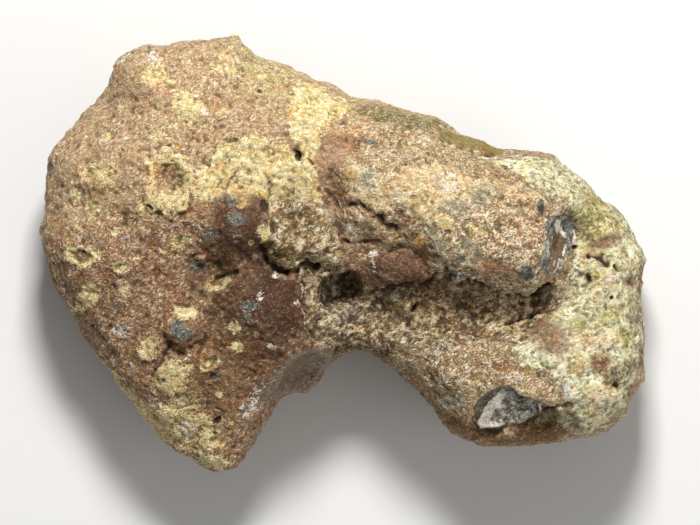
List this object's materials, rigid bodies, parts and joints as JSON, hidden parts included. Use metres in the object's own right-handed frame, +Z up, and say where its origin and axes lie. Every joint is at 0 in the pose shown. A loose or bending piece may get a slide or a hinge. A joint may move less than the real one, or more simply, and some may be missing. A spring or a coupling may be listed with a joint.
{
  "type": "rough agate nodule",
  "caption": "Uncut agate nodule with a weathered brown and cream rind, a raised ridge, pits and a notch between its lobes, lying on its flattest side.",
  "frame": {"origin": "on the plane that the stone rests on, under the middle of its box", "axes": "+X along the stone's length from the broad lobe to the ridged lobe, +Y across it away from the notch, +Z up from the resting plane"},
  "size_m": [0.068, 0.0488, 0.0247],
  "materials": {
    "rind": "matt weathered rind with cream crust and glossy chips"
  },
  "bodies": {
    "root": {"agate_nodule": "rind"}
  },
  "joints": []
}
